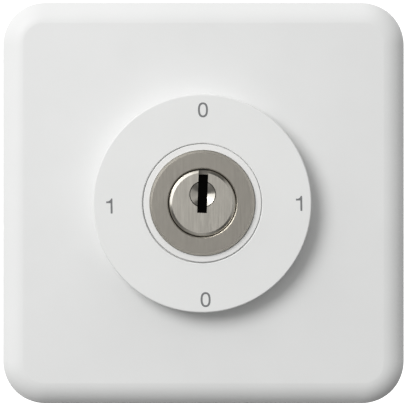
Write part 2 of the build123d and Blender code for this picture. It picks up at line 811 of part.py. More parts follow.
bearing_size = inner_size - 0.2
bearing_front = box_split - 0.02
with BuildPart() as rotor_bearing_plate:
    with BuildSketch(face_at(bearing_front)):
        RectangleRounded(bearing_size, bearing_size, box_corner - box_wall - 0.1)
        Circle(hub_radius + rotor_play, mode=Mode.SUBTRACT)
        with Locations(*housing_screw_points):
            Circle(housing_screw_hole, mode=Mode.SUBTRACT)
    extrude(amount=bearing_rear + 0.02 - bearing_front)
    # a raised ring makes the bearing longer
    with BuildSketch(face_at(bearing_front)):
        Circle(hub_radius + bearing_ring_width)
        Circle(hub_radius + rotor_play, mode=Mode.SUBTRACT)
    extrude(amount=bearing_ring_height)
rotor_bearing_plate.part.label = "rotor_bearing_plate"
export_step(rotor_bearing_plate.part, "parts/rotor_bearing_plate.step")

button_hole = (button_width + 2 * button_hole_gap, button_depth + 2 * button_hole_gap)
guide_size = port_size + 2 * port_guide
guide_length = port_columns[1] - port_columns[0] + guide_size
sink_floor = box_rear + housing_screw_sink
with BuildPart() as contact_base:
    with BuildSketch(face_at(box_split)):
        RectangleRounded(box_size, box_size, box_corner)
    extrude(amount=box_rear - box_split)
    fillet(faces().sort_by(Axis.Y)[-1].edges(), base_edge_rounding)
    with BuildSketch(face_at(box_floor)):
        RectangleRounded(inner_size, inner_size, box_corner - box_wall)
    extrude(amount=box_split - box_floor, mode=Mode.SUBTRACT)
    # two columns carry the bearing plate and the long housing screws
    round_posts(housing_screw_points, housing_column, box_floor, bearing_rear)
    round_posts(housing_screw_points, housing_screw_hole, box_rear, bearing_rear, mode=Mode.SUBTRACT)
    round_posts(housing_screw_points, housing_screw_head + 0.3, box_rear, sink_floor, mode=Mode.SUBTRACT)
    # blind bearing for the rotor's rear journal
    round_posts([(0, 0)], journal_radius + rotor_play, journal_rear - 0.15, box_floor, mode=Mode.SUBTRACT)
    # posts with slots that hold the ends of the two detent springs
    spring_x = cam_size / 2 + detent_slot_half
    post_x = (spring_x - detent_post_half, spring_x + detent_post_half)
    slot_x = (spring_x - detent_slot_half, spring_x + detent_slot_half)
    for side, level in corners.values():
        post_z = [level * z for z in detent_post_levels]
        slot_z = (level * (detent_post_levels[0] - 1), level * detent_slot_end)
        block([side * x for x in post_x], post_z, (box_floor, cam_front))
        block([side * x for x in slot_x], slot_z, (box_floor + 1, cam_front), mode=Mode.SUBTRACT)
    wall_end = inner_size / 2 + 0.5
    upright_wall = (tab_level + 2 * strip_thickness, inner_size / 2 - 1.7)
    level_wall = (tab_level - chamber_wall - 0.1, tab_level - 0.1)
    for side, level in corners.values():
        # walls of the terminal chamber
        upright_x = (side * (chamber_inner - chamber_wall), side * chamber_inner)
        level_x = (side * (strip_inner + chamber_wall), side * wall_end)
        block(upright_x, [level * z for z in upright_wall], (box_floor, tab_front))
        block(level_x, [level * z for z in level_wall], (box_floor, tab_front))
        # two wire ports and the release button's hole
        with BuildSketch(face_at(box_rear)):
            with Locations(*[(side * x, level * port_level) for x in port_columns]):
                RectangleRounded(port_size, port_size, port_corner)
            with Locations((side * button_column, level * button_level)):
                Rectangle(*button_hole)
        extrude(amount=rear_wall, mode=Mode.SUBTRACT)
        # a shallow recess round the pair of ports guides the wires in
        with BuildSketch(face_at(box_rear)):
            with Locations((side * sum(port_columns) / 2, level * port_level)):
                RectangleRounded(guide_length, guide_size, port_corner + port_guide)
        extrude(amount=port_guide_depth, mode=Mode.SUBTRACT)
contact_base.part.label = "contact_base"
export_step(contact_base.part, "parts/contact_base.step")

with BuildPart() as housing_screws:
    pan_head_screws(
        housing_screw_points, sink_floor, housing_screw_head, 1.9, housing_screw_shank, housing_screw_end
    )
housing_screws.part.label = "housing_screws"
export_step(housing_screws.part, "parts/housing_screws.step")

# =====================================================================================================
# Rotor with its contact bridges, and the detent springs
# =====================================================================================================

flange_top = bearing_rear - 0.1
with BuildPart() as switch_rotor:
    turned(
        (0, journal_rear),
        (journal_radius, journal_rear),
        (journal_radius, cam_rear),
        (rotor_waist, cam_rear),
        (rotor_waist, cam_front),
        (rotor_core, cam_front),
        (rotor_core, flange_top - rotor_flange_width),
        (rotor_flange, flange_top - rotor_flange_width),
        (rotor_flange, flange_top),
        (hub_radius, flange_top),
        (hub_radius, hub_front),
        (0, hub_front),
    )
    # square detent cam: one flat for each of the four key positions
    with BuildSketch(face_at(cam_front)):
        RectangleRounded(cam_size, cam_size, cam_corner)
    extrude(amount=cam_rear - cam_front)
    with BuildSketch(face_at(hub_front)):
        Rectangle(driver_length + hub_slot_play[0], driver_width + hub_slot_play[1])
    extrude(amount=hub_slot_floor - hub_front, mode=Mode.SUBTRACT)
    slot_half = bridge_thickness / 2 + 0.02
    for tier in contact_tiers:
        slot_heights = (tier + 0.02, tier - contact_width - 0.02)
        block((-slot_half, slot_half), (-bridge_reach, bridge_reach), slot_heights, mode=Mode.SUBTRACT)
switch_rotor.part.label = "switch_rotor"
export_step(switch_rotor.part, "parts/switch_rotor.step")

half_bridge = bridge_thickness / 2
bridge_end = bridge_reach - tip_length
for name, tier in zip(("front", "rear"), contact_tiers):
    with BuildPart() as contact_bridge:
        block((-half_bridge, half_bridge), (-bridge_end, bridge_end), (tier, tier - contact_width))
    contact_bridge.part.label = f"contact_bridge_{name}"
    export_step(contact_bridge.part, f"parts/contact_bridge_{name}.step")

with BuildPart() as bridge_contact_tips:
    for tier in contact_tiers:
        for level in (1, -1):
            with BuildSketch(face_at(tier - tip_inset)):
                with Locations((0, level * (bridge_end + tip_length / 2))):
                    Rectangle(tip_width, tip_length)
            extrude(amount=2 * tip_inset - contact_width)
    for end in (0, -1):
        outer_ends = faces().filter_by(Axis.Z).group_by(Axis.Z)[end]
        fillet(outer_ends.edges().filter_by(Axis.Y), tip_rounding)
bridge_contact_tips.part.label = "bridge_contact_tips"
export_step(bridge_contact_tips.part, "parts/bridge_contact_tips.step")

spring_front, spring_rear = cam_front - 0.3, cam_rear + 0.2
for name, side in (("left", -1), ("right", 1)):
    with BuildPart() as detent_spring:
        inner_x = side * (cam_size / 2 + detent_gap)
        outer_x = inner_x + side * detent_thickness
        spring_z = (-detent_half_length, detent_half_length)
        block((inner_x, outer_x), spring_z, (spring_front, spring_rear))
    detent_spring.part.label = f"detent_spring_{name}"
    export_step(detent_spring.part, f"parts/detent_spring_{name}.step")

# =====================================================================================================
# Fixed contacts and terminals
# =====================================================================================================


def fixed_contacts(tier, level):
    """A left and a right contact strip with its terminal tab, running up (level 1) or down (level -1)."""
    for side in (1, -1):
        strip_x = (side * strip_inner, side * (strip_inner + strip_thickness))
        tab_z = (level * tab_level, level * (tab_level + strip_thickness))
        strip_z = (-level * strip_overrun, tab_z[1])
        block(strip_x, strip_z, (tier, tier - contact_width))
        block((strip_x[0], side * tab_outer), tab_z, (tab_front, tab_rear))


for name, tier, level in (("front", contact_tiers[0], 1), ("rear", contact_tiers[1], -1)):
    with BuildPart() as contact_strips:
        fixed_contacts(tier, level)
    contact_strips.part.label = f"fixed_contacts_{name}"
    export_step(contact_strips.part, f"parts/fixed_contacts_{name}.step")

with BuildPart() as fixed_contact_rivets:
    for tier in contact_tiers:
        for side in (0, 180):
            place = Location((0, -(tier - contact_width / 2), 0), (0, 90 + side, 0))
            with Locations(place * Location((0, 0, rivet_face))):
                Cylinder(rivet_radius, strip_inner - rivet_face, align=upward)
fixed_contact_rivets.part.label = "fixed_contact_rivets"
export_step(fixed_contact_rivets.part, "parts/fixed_contact_rivets.step")

for name, (side, level) in corners.items():
    # a bent leaf: one leg lies against the wall and the other grips the wire against the tab
    side_plane = Plane(origin=(side * clamp_side, 0, 0), x_dir=(0, -1, 0), z_dir=(side, 0, 0))
    flip = level if side_plane.y_dir.Z > 0 else -level
    leg_start = (clamp_leg[0], flip * clamp_leg[1])
    bend = (box_floor + clamp_bend_height, flip * clamp_leg[1])
    knee = (box_floor + clamp_knee[0], flip * clamp_knee[1])
    leaf_tip = (clamp_tip_height, flip * (tab_level + strip_thickness + clamp_thickness))
    with BuildPart() as clamp_spring:
        with BuildSketch(side_plane):
            with BuildLine():
                Polyline(leg_start, bend, knee, leaf_tip)
                offset(amount=clamp_thickness / 2)
            make_face()
        extrude(amount=clamp_width)
    clamp_spring.part.label = f"clamp_spring_{name}"
    export_step(clamp_spring.part, f"parts/clamp_spring_{name}.step")

    button_place = (side * button_column, level * button_level)
    nose_place = (side * button_column, level * (button_level - button_nose_drop))
    with BuildPart() as release_button:
        with BuildSketch(face_at(button_out)):
            with Locations(button_place):
                Rectangle(button_width, button_depth)
        extrude(amount=box_floor + 0.3 - button_out)
        fillet(faces().sort_by(Axis.Y)[-1].edges(), button_rounding)
        # the wider shoulder keeps the button in, and the nose pushes the clamp spring
        with BuildSketch(face_at(box_floor + part_gap)):
            with Locations(button_place):
                Rectangle(button_width + button_shoulder[0], button_depth + button_shoulder[1])
        extrude(amount=button_shoulder_height)
        with BuildSketch(face_at(box_floor + 0.5)):
            with Locations(nose_place):
                Rectangle(button_width - 0.8, button_nose_width)
        extrude(amount=button_nose - box_floor - 0.5)
    release_button.part.label = f"release_button_{name}"
    export_step(release_button.part, f"parts/release_button_{name}.step")
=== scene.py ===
import json
from math import cos, pi, radians, sin, sqrt

import bmesh
import bpy
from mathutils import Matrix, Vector


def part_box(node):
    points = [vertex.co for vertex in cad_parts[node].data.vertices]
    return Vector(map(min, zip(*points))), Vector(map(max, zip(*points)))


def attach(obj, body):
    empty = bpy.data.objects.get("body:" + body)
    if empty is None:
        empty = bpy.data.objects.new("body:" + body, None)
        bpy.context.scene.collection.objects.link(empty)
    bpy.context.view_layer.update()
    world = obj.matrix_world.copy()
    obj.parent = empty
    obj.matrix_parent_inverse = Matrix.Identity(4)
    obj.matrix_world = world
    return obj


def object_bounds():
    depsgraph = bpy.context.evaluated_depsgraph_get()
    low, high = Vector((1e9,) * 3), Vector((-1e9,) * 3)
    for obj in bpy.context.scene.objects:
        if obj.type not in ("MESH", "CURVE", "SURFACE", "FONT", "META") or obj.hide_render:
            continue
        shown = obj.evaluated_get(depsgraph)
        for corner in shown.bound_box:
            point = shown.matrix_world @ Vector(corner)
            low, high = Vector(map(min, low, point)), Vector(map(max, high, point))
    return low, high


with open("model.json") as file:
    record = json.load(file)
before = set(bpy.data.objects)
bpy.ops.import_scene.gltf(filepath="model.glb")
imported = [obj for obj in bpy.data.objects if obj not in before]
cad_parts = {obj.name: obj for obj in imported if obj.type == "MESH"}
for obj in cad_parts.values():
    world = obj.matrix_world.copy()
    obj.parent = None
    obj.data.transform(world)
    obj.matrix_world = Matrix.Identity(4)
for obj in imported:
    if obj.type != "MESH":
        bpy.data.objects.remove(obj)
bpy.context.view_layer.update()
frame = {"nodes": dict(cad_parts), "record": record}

# A flush-mounted key switch, seen straight on. The wall is the plane Y = 0, the user stands at -Y and
# Z is up. Lengths below are in millimetres unless a name or comment says otherwise, and MM turns them
# into metres.
MM = 0.001

# ------------------------------------------------------------------------------------------------------
# Materials
# ------------------------------------------------------------------------------------------------------


class Nodes:
    """Builds one node tree, with short names for the nodes that the finishes and the room use."""

    def __init__(self, tree, space):
        self.tree = tree
        self.tree.nodes.clear()
        self.coordinates = self.add("ShaderNodeTexCoord").outputs[space]

    def add(self, kind, **settings):
        node = self.tree.nodes.new(kind)
        for key, value in settings.items():
            setattr(node, key, value)
        return node

    def join(self, output, node_input):
        self.tree.links.new(output, node_input)

    def put(self, node_input, value):
        """Links a socket, or sets a plain value."""
        if isinstance(value, bpy.types.NodeSocket):
            self.join(value, node_input)
        else:
            node_input.default_value = value

    def noise(self, size, detail=3.0, roughness=0.55):
        """Noise whose features are about `size` millimetres; a triple stretches it along the axes."""
        sizes = size if isinstance(size, tuple) else (size, size, size)
        mapping = self.add("ShaderNodeMapping", vector_type="POINT")
        mapping.inputs["Scale"].default_value = [1 / (s * MM) for s in sizes]
        self.join(self.coordinates, mapping.inputs["Vector"])
        noise = self.add("ShaderNodeTexNoise")
        noise.inputs["Scale"].default_value = 1.0
        noise.inputs["Detail"].default_value = detail
        noise.inputs["Roughness"].default_value = roughness
        self.join(mapping.outputs[0], noise.inputs["Vector"])
        return noise.outputs["Fac"]

    def spread(self, fac, low, high, start=0.25, end=0.75):
        """Maps a factor from the range start to end onto the range low to high, and stops there."""
        node = self.add("ShaderNodeMapRange")
        node.inputs["From Min"].default_value = start
        node.inputs["From Max"].default_value = end
        node.inputs["To Min"].default_value = low
        node.inputs["To Max"].default_value = high
        self.join(fac, node.inputs["Value"])
        return node.outputs[0]

    def blend(self, fac, first, second):
        """Mixes two colours."""
        node = self.add("ShaderNodeMix", data_type="RGBA")
        self.put(node.inputs[0], fac)
        for socket, colour in ((node.inputs[6], first), (node.inputs[7], second)):
            self.put(socket, colour if isinstance(colour, bpy.types.NodeSocket) else (*colour, 1.0))
        return node.outputs[2]

    def shaded(self, colour, fac, amount):
        """The colour, darkened to `amount` of itself where the factor is 1."""
        node = self.add("ShaderNodeMix", data_type="RGBA", blend_type="MULTIPLY")
        self.put(node.inputs[0], fac)
        self.put(node.inputs[6], colour)
        node.inputs[7].default_value = (amount, amount, amount, 1.0)
        return node.outputs[2]

    def mix(self, fac, first, second):
        """Mixes two numbers."""
        node = self.add("ShaderNodeMix", data_type="FLOAT")
        self.put(node.inputs[0], fac)
        self.put(node.inputs[2], first)
        self.put(node.inputs[3], second)
        return node.outputs[0]

    def math(self, operation, first, second=0.0):
        node = self.add("ShaderNodeMath", operation=operation)
        self.put(node.inputs[0], first)
        self.put(node.inputs[1], second)
        return node.outputs[0]

    def bump(self, height, depth, strength=1.0, normal=None):
        """Relief of about `depth` millimetres from a height factor."""
        node = self.add("ShaderNodeBump")
        self.put(node.inputs["Strength"], strength)
        node.inputs["Distance"].default_value = depth * MM
        self.join(height, node.inputs["Height"])
        if normal:
            self.join(normal, node.inputs["Normal"])
        return node.outputs[0]

    def axis(self, name):
        """One coordinate, which is in metres in a material."""
        split = self.add("ShaderNodeSeparateXYZ")
        self.join(self.coordinates, split.inputs[0])
        return split.outputs[name]

    def radius(self):
        """Distance from the lock's axis, in metres."""
        x, z = self.axis("X"), self.axis("Z")
        return self.math("SQRT", self.math("ADD", self.math("MULTIPLY", x, x), self.math("MULTIPLY", z, z)))


class Finish(Nodes):
    """One node material, built round a principled shader."""

    def __init__(self, name):
        self.material = bpy.data.materials.new(name)
        self.material.use_nodes = True
        super().__init__(self.material.node_tree, "Object")
        self.shader = self.add("ShaderNodeBsdfPrincipled")
        self.join(self.shader.outputs[0], self.add("ShaderNodeOutputMaterial").inputs["Surface"])

    def set(self, **values):
        """Sets inputs of the shader by name, with underscores for spaces."""
        for key, value in values.items():
            self.put(self.shader.inputs[key.replace("_", " ")], value)


def lighter(colour, factor):
    return tuple(min(1.0, c * factor) for c in colour)


def moulded_plastic(name, colour, roughness, grain=0.22, relief=0.006, mottle=0.03, painted_glow=None):
    """Injection-moulded plastic: fine eroded texture, faint flow mottling, roughness that follows it.
    The last argument gives the strength of a painted glow: emission that lightens the shade where the plastic
    is thin."""
    n = Finish(name)
    flow = n.noise(14.0, detail=2.0)
    fine = n.noise(grain, detail=4.0, roughness=0.6)
    pits = n.noise(grain * 3.5, detail=2.0)
    base = n.blend(n.spread(flow, 0.0, 1.0, 0.3, 0.7), lighter(colour, 1 - mottle), colour)
    n.set(Base_Color=n.blend(n.spread(fine, 0.0, 0.35), base, lighter(colour, 1 - 2 * mottle)))
    n.set(Roughness=n.spread(pits, roughness - 0.05, roughness + 0.06), IOR=1.49)
    n.set(Normal=n.bump(pits, relief * 1.5, 0.6, n.bump(fine, relief)))
    # painted glow: emission that lightens shade where the mask says, though the plastic is no lamp
    if painted_glow:
        n.set(Emission_Color=(1, 1, 1, 1), Emission_Strength=painted_glow(n))
    return n.material


polish = 0.15                   # roughness of a turned and plated bevel
polish_start = 0.01             # depth behind the front where brushing begins to give way to polish
polish_end = 0.04


def brushed_metal(
    name, colour, roughness, grain, relief=0.0015, contrast=0.07, streak=0.1, face=None, painted_shade_and_tone=None,
):
    """Plated metal brushed along one axis; `grain` is the size of a scratch along X, Y and Z. Only the
    front at Y = `face` is brushed, if it is given: bevels and recesses behind it keep their polish.
    The last argument gives pairs of a factor and a brightness that darken the base colour: painted shade for
    places that light hardly reaches, and the metal's own greyer tones."""
    n = Finish(name)
    scratches = n.noise(grain, detail=5.0, roughness=0.7)
    bands = n.noise(tuple(g * 5 for g in grain), detail=2.0)
    cloud = n.noise(6.0, detail=2.0)
    tone = n.math("ADD", n.math("MULTIPLY", scratches, 0.65), n.math("MULTIPLY", bands, 0.35))
    dark, light = lighter(colour, 1 - contrast), lighter(colour, 1 + contrast)
    base = n.blend(n.spread(tone, 0.0, 1.0, 0.35, 0.65), dark, light)
    base = n.blend(n.spread(cloud, 0.0, 0.4), base, lighter(colour, 0.95))
    # painted shade, and any greyer tone of the metal's own, multiplied into the base colour
    if painted_shade_and_tone:
        for fac, amount in painted_shade_and_tone(n):
            base = n.shaded(base, fac, amount)
    rough = n.spread(tone, roughness - streak / 2, roughness + streak / 2, 0.35, 0.65)
    brushed = 1.0
    if face is not None:
        brushed = n.spread(n.axis("Y"), 1.0, 0.0, face + polish_start * MM, face + polish_end * MM)
        rough = n.mix(brushed, polish, rough)
    n.set(Base_Color=base, Metallic=1.0, Roughness=rough, Normal=n.bump(scratches, relief, brushed))
    return n.material


def cast_metal(name, colour, roughness=0.5, grain=0.35, relief=0.03):
    """Die-cast or plated metal: a fine sandy surface with darker hollows."""
    n = Finish(name)
    sand = n.noise(grain, detail=4.0, roughness=0.6)
    cloud = n.noise(5.0, detail=3.0)
    base = n.blend(n.spread(cloud, 0.0, 1.0, 0.3, 0.7), lighter(colour, 0.88), lighter(colour, 1.06))
    n.set(Base_Color=n.blend(n.spread(sand, 0.0, 0.5), base, lighter(colour, 0.8)))
    n.set(Metallic=1.0, Roughness=n.spread(cloud, roughness - 0.08, roughness + 0.1))
    n.set(Normal=n.bump(sand, relief))
    return n.material


def galvanised_steel(name, colour, spangle=2.4):
    """Hot-dip coating: angular spangle cells of slightly different brightness, with rolled grain."""
    n = Finish(name)
    mapping = n.add("ShaderNodeMapping")
    mapping.inputs["Scale"].default_value = [1 / (spangle * MM)] * 3
    n.join(n.coordinates, mapping.inputs["Vector"])
    cells = n.add("ShaderNodeTexVoronoi", feature="F1")
    cells.inputs["Scale"].default_value = 1.0
    cells.inputs["Randomness"].default_value = 1.0
    n.join(mapping.outputs[0], cells.inputs["Vector"])
    cell = n.add("ShaderNodeSeparateColor")
    n.join(cells.outputs["Color"], cell.inputs[0])
    fine = n.noise((0.15, 0.15, 2.5), detail=4.0)
    base = n.blend(cell.outputs[0], lighter(colour, 0.88), lighter(colour, 1.08))
    n.set(Base_Color=n.blend(n.spread(fine, 0.0, 0.4), base, lighter(colour, 0.9)))
    n.set(Metallic=1.0, Roughness=n.spread(cell.outputs[1], 0.34, 0.56, 0.0, 1.0))
    n.set(Normal=n.bump(fine, 0.004))
    return n.material


# metres, in the frame
dial_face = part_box("dial_disc")[0].y
lock_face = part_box("lock_housing")[0].y
lock_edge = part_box("lock_housing")[1].x
plug_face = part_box("lock_plug")[0].y
plug_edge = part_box("lock_plug")[1].x

seam_radius = 12.53             # of the gap between dial and collar
# strength of the painted glow that lightens the seam's shade
seam_painted_glow_strength = 0.055


def seam_painted_glow(n):
    """A painted glow: emission that lightens the shade in the seam between dial and collar, on the thin white
    edges on both sides of it.
    """
    deep = n.spread(n.axis("Y"), 0.0, 1.0, dial_face + 0.15 * MM, dial_face + 0.3 * MM)
    outer = n.spread(n.radius(), 1.0, 0.0, (seam_radius + 0.2) * MM, (seam_radius + 0.3) * MM)
    inner = n.spread(n.radius(), 0.0, 1.0, (seam_radius - 0.3) * MM, (seam_radius - 0.2) * MM)
    return n.math("MULTIPLY", n.math("MULTIPLY", deep, outer), n.math("MULTIPLY", inner, seam_painted_glow_strength))


def housing_painted_shade_and_bevel_tone(n):
    """Painted shade: the recess for the plug's head is darkened to half, and the narrow gap round the head
    darkened further, to a tenth. The outer bevel is a little greyer than the face."""
    deep = n.spread(n.axis("Y"), 0.0, 1.0, lock_face + 0.2 * MM, lock_face + 0.4 * MM)
    recess = n.spread(n.radius(), 1.0, 0.0, plug_edge + 0.4 * MM, plug_edge + 0.6 * MM)
    gap = n.spread(n.radius(), 0.0, 1.0, plug_edge - 0.15 * MM, plug_edge + 0.05 * MM)
    painted_recess_shade = n.math("MULTIPLY", deep, recess)
    bevel = n.spread(n.radius(), 0.0, 1.0, lock_edge - 0.55 * MM, lock_edge - 0.45 * MM)
    return [(painted_recess_shade, 0.5), (n.math("MULTIPLY", painted_recess_shade, gap), 0.2), (bevel, 0.8)]


def plug_painted_shade(n):
    """Painted shade: the keyway is painted nearly black, and the plug's rim is darkened below its bevel, in
    the gap round it.
    """
    keyway = n.spread(n.axis("Y"), 0.0, 1.0, plug_face + 1.5 * MM, plug_face + 2.2 * MM)
    deep = n.spread(n.axis("Y"), 0.0, 1.0, plug_face + 0.35 * MM, plug_face + 0.6 * MM)
    rim = n.spread(n.radius(), 0.0, 1.0, plug_edge - 0.3 * MM, plug_edge - 0.1 * MM)
    return [(keyway, 0.012), (n.math("MULTIPLY", deep, rim), 0.15)]


finishes = {
    "cover_white": moulded_plastic("cover_plastic", (0.80, 0.805, 0.80), 0.42),
    "dial_white": moulded_plastic("dial_plastic", (0.815, 0.82, 0.812), 0.44, mottle=0.025, painted_glow=seam_painted_glow),
    "collar_white": moulded_plastic(
        "collar_plastic", (0.84, 0.84, 0.83), 0.34, relief=0.003, mottle=0.02, painted_glow=seam_painted_glow,
    ),
    "mark_grey": moulded_plastic("mark_ink", (0.19, 0.195, 0.2), 0.5, relief=0.004, mottle=0.06),
    "lock_nickel": brushed_metal(
        "lock_nickel", (0.584, 0.551, 0.49), 0.34, (0.07, 0.5, 1.8), contrast=0.04, painted_shade_and_tone=housing_painted_shade_and_bevel_tone,
    ),
    "plug_nickel": brushed_metal(
        "plug_nickel", (0.74, 0.706, 0.634), 0.36, (0.06, 0.5, 2.2), relief=0.003, contrast=0.12,
        face=plug_face, painted_shade_and_tone=plug_painted_shade,
    ),
    "sleeve_nickel": brushed_metal("sleeve_nickel", (0.6, 0.58, 0.55), 0.3, (0.06, 1.0, 0.06)),
    "pin_brass": brushed_metal("pin_brass", (0.78, 0.58, 0.28), 0.25, (0.05, 0.3, 0.3)),
    "pin_steel": brushed_metal("pin_steel", (0.58, 0.58, 0.6), 0.25, (0.05, 0.3, 0.3)),
    "spring_steel": brushed_metal("spring_steel", (0.62, 0.63, 0.65), 0.24, (0.4, 0.05, 0.4)),
    "driver_zinc": cast_metal("driver_zinc", (0.55, 0.55, 0.55)),
    "carrier_zinc": cast_metal("carrier_zinc", (0.5, 0.51, 0.52)),
    "frame_steel": galvanised_steel("frame_steel", (0.62, 0.64, 0.66)),
    "screw_steel": brushed_metal("screw_steel", (0.68, 0.68, 0.66), 0.28, (0.3, 0.05, 0.3)),
    "shell_grey": moulded_plastic("shell_thermoset", (0.56, 0.57, 0.56), 0.5, grain=0.3, mottle=0.06),
    "base_grey": moulded_plastic("base_thermoset", (0.085, 0.09, 0.1), 0.48, grain=0.3, mottle=0.12),
    "bearing_black": moulded_plastic("bearing_plastic", (0.02, 0.02, 0.022), 0.45, mottle=0.2),
    "rotor_ivory": moulded_plastic("rotor_acetal", (0.72, 0.65, 0.48), 0.36, mottle=0.04),
    "contact_brass": brushed_metal("contact_brass", (0.74, 0.52, 0.26), 0.32, (0.06, 0.6, 0.6)),
    "contact_silver": brushed_metal("contact_silver", (0.86, 0.85, 0.82), 0.22, (0.1, 0.1, 0.1)),
    "button_orange": moulded_plastic("button_plastic", (0.78, 0.2, 0.03), 0.38, mottle=0.06),
}

slot_of = {s["node"]: s["material_slot"] for s in frame["record"]["subparts"]}
for node, obj in frame["nodes"].items():
    obj.data.materials.clear()
    obj.data.materials.append(finishes[slot_of[node]])
    obj.data.set_sharp_from_angle(angle=radians(24))

# ------------------------------------------------------------------------------------------------------
# Small moulded details that the solids leave out
# ------------------------------------------------------------------------------------------------------

bead_sink = 0.08                # how far a bead is rooted in the surface it stands on
bead_sides = 8                  # facets across its half-round top
taper_steps = 5                 # sections round each open end
dot_sides = 20
dot_steps = 4                   # rings from a dot's foot to its top


def bead_stations(path, width, closed):
    """Points along a flat path, each with the bead's size there: 1, or less round an open end."""
    points = [Vector(point) for point in path]
    if closed:
        return [(point, 1.0) for point in points]
    sizes = [sin(pi / 2 * (k + 0.15) / taper_steps) for k in range(taper_steps)]
    ends = []
    for tip, inside in ((points[0], points[1]), (points[-1], points[-2])):
        inward = (inside - tip).normalized() * width / 2
        ends.append([(tip + inward * (1 - sqrt(1 - size * size)), size) for size in sizes])
    return ends[0] + [(point, 1.0) for point in points[1:-1]] + ends[1][::-1]


def bead_rings(path, width, height, closed):
    """Cross-sections of a half-round bead along a flat path, as (across, along, up) points."""
    stations = bead_stations(path, width, closed)
    count = len(stations)
    rings = []
    for index, (point, size) in enumerate(stations):
        before = stations[(index - 1) % count if closed else max(index - 1, 0)][0]
        after = stations[(index + 1) % count if closed else min(index + 1, count - 1)][0]
        way_in = (point - before) if index or closed else (after - point)
        way_out = (after - point) if index < count - 1 or closed else (point - before)
        way_in, way_out = way_in.normalized(), way_out.normalized()
        along = (way_in + way_out).normalized()
        mitre = 1 / max(0.3, along.dot(way_in))
        reach = Vector((-along.y, along.x)) * (width / 2 * size * mitre)
        ring = []
        for k in range(bead_sides + 1):
            angle = pi * k / bead_sides
            spot = point + reach * cos(angle)
            ring.append((spot.x, spot.y, sin(angle) * height * size))
        for edge in (-1, 1):
            spot = point + reach * edge
            ring.append((spot.x, spot.y, -bead_sink))
        rings.append(ring)
    return rings


def add_band(mesh, first, second):
    """Faces between two rings of vertices."""
    count = len(first)
    for k in range(count):
        m = (k + 1) % count
        mesh.faces.new((first[k], first[m], second[m], second[k]))


def add_beads(mesh, paths, width, height, place, closed=False):
    """Adds beads to a bmesh; `place` turns (across, along, up) in millimetres into a point of the frame."""
    for path in paths:
        rings = [
            [mesh.verts.new(place(*spot)) for spot in ring]
            for ring in bead_rings(path, width, height, closed)
        ]
        for first, second in zip(rings, rings[1:]):
            add_band(mesh, first, second)
        if closed:
            add_band(mesh, rings[-1], rings[0])
        else:
            mesh.faces.new(rings[0])
            mesh.faces.new(rings[-1][::-1])


def circle(x, y, radius, up):
    turns = [2 * pi * k / dot_sides for k in range(dot_sides)]
    return [(x + radius * cos(t), y + radius * sin(t), up) for t in turns]


def add_dots(mesh, spots, radius, height, place):
    """Adds low domes with a closed underside to a bmesh."""
    for x, y in spots:
        rings = [circle(x, y, radius, -bead_sink)]
        for k in range(dot_steps):
            rise = pi / 2 * k / dot_steps
            rings.append(circle(x, y, radius * cos(rise), height * sin(rise)))
        rings = [[mesh.verts.new(place(*spot)) for spot in ring] for ring in rings]
        top = mesh.verts.new(place(x, y, height))
        for first, second in zip(rings, rings[1:]):
            add_band(mesh, first, second)
        for k in range(dot_sides):
            mesh.faces.new((rings[-1][k], rings[-1][(k + 1) % dot_sides], top))
        mesh.faces.new(rings[0][::-1])


def finish_piece(name, mesh, body, slot):
    """Turns a bmesh into a smooth piece that rides on a body and takes a finish."""
    bmesh.ops.recalc_face_normals(mesh, faces=mesh.faces)
    data = bpy.data.meshes.new(name)
    mesh.to_mesh(data)
    mesh.free()
    data.shade_smooth()
    data.set_sharp_from_angle(angle=radians(40))
    data.materials.append(finishes[slot])
    piece = bpy.data.objects.new(name, data)
    bpy.context.scene.collection.objects.link(piece)
    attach(piece, body)


base_low, base_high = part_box("contact_base")
shell_low, shell_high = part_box("switch_front_shell")
rear = base_high.y              # metres
side = base_high.x


def on_rear(x, z, up):
    """A place on the switch's rear face."""
    return (x * MM, rear + up * MM, z * MM)


def on_side(turn):
    """Places on one of the four sides: across, then depth behind the wall, then outward."""
    def place(across, depth, up):
        out = side + up * MM
        return (
            out * cos(turn) - across * MM * sin(turn),
            depth * MM,
            out * sin(turn) + across * MM * cos(turn),
        )
    return place


# grip ribs on the sides of both halves of the switch's body
rib_spots = (-9.0, -6.0, -3.0, 0.0, 3.0, 6.0, 9.0)
rib_width = 1.1
rib_height = 0.3
for name, slot, start, end in (
    ("base_grip_ribs", "base_grey", base_low.y / MM + 2.0, base_high.y / MM - 3.5),
    ("shell_grip_ribs", "shell_grey", shell_low.y / MM + 3.0, shell_high.y / MM - 2.0),
):
    ribs = bmesh.new()
    rib_paths = [((x, start), (x, (start + end) / 2), (x, end)) for x in rib_spots]
    for quarter in range(4):
        add_beads(ribs, rib_paths, rib_width, rib_height, on_side(quarter * pi / 2))
    finish_piece(name, ribs, "fixed_parts", slot)

# one to four dots number the terminals
dot_x, dot_z = 9.0, 12.0        # the middle of each row of dots
dot_pitch = 2.2
dot_spots = []
for number, (x, z) in enumerate(((1, 1), (-1, 1), (-1, -1), (1, -1)), 1):
    row_start = z * dot_z - dot_pitch * (number - 1) / 2
    dot_spots += [(x * dot_x, row_start + dot_pitch * k) for k in range(number)]
dots = bmesh.new()
add_dots(dots, dot_spots, 0.55, 0.3, on_rear)
finish_piece("terminal_dots", dots, "fixed_parts", "base_grey")

# an outline with a line in it shows how far to strip a wire
gauge_x, gauge_z = 6.0, 1.6     # half its size
gauge_outline = [(-gauge_x, -gauge_z), (gauge_x, -gauge_z), (gauge_x, gauge_z), (-gauge_x, gauge_z)]
gauge_line = [(-gauge_x / 2, 0.0), (0.0, 0.0), (gauge_x / 2, 0.0)]
gauge = bmesh.new()
add_beads(gauge, [gauge_outline], 0.45, 0.22, on_rear, closed=True)
add_beads(gauge, [gauge_line], 0.45, 0.22, on_rear)
finish_piece("strip_gauge", gauge, "fixed_parts", "base_grey")

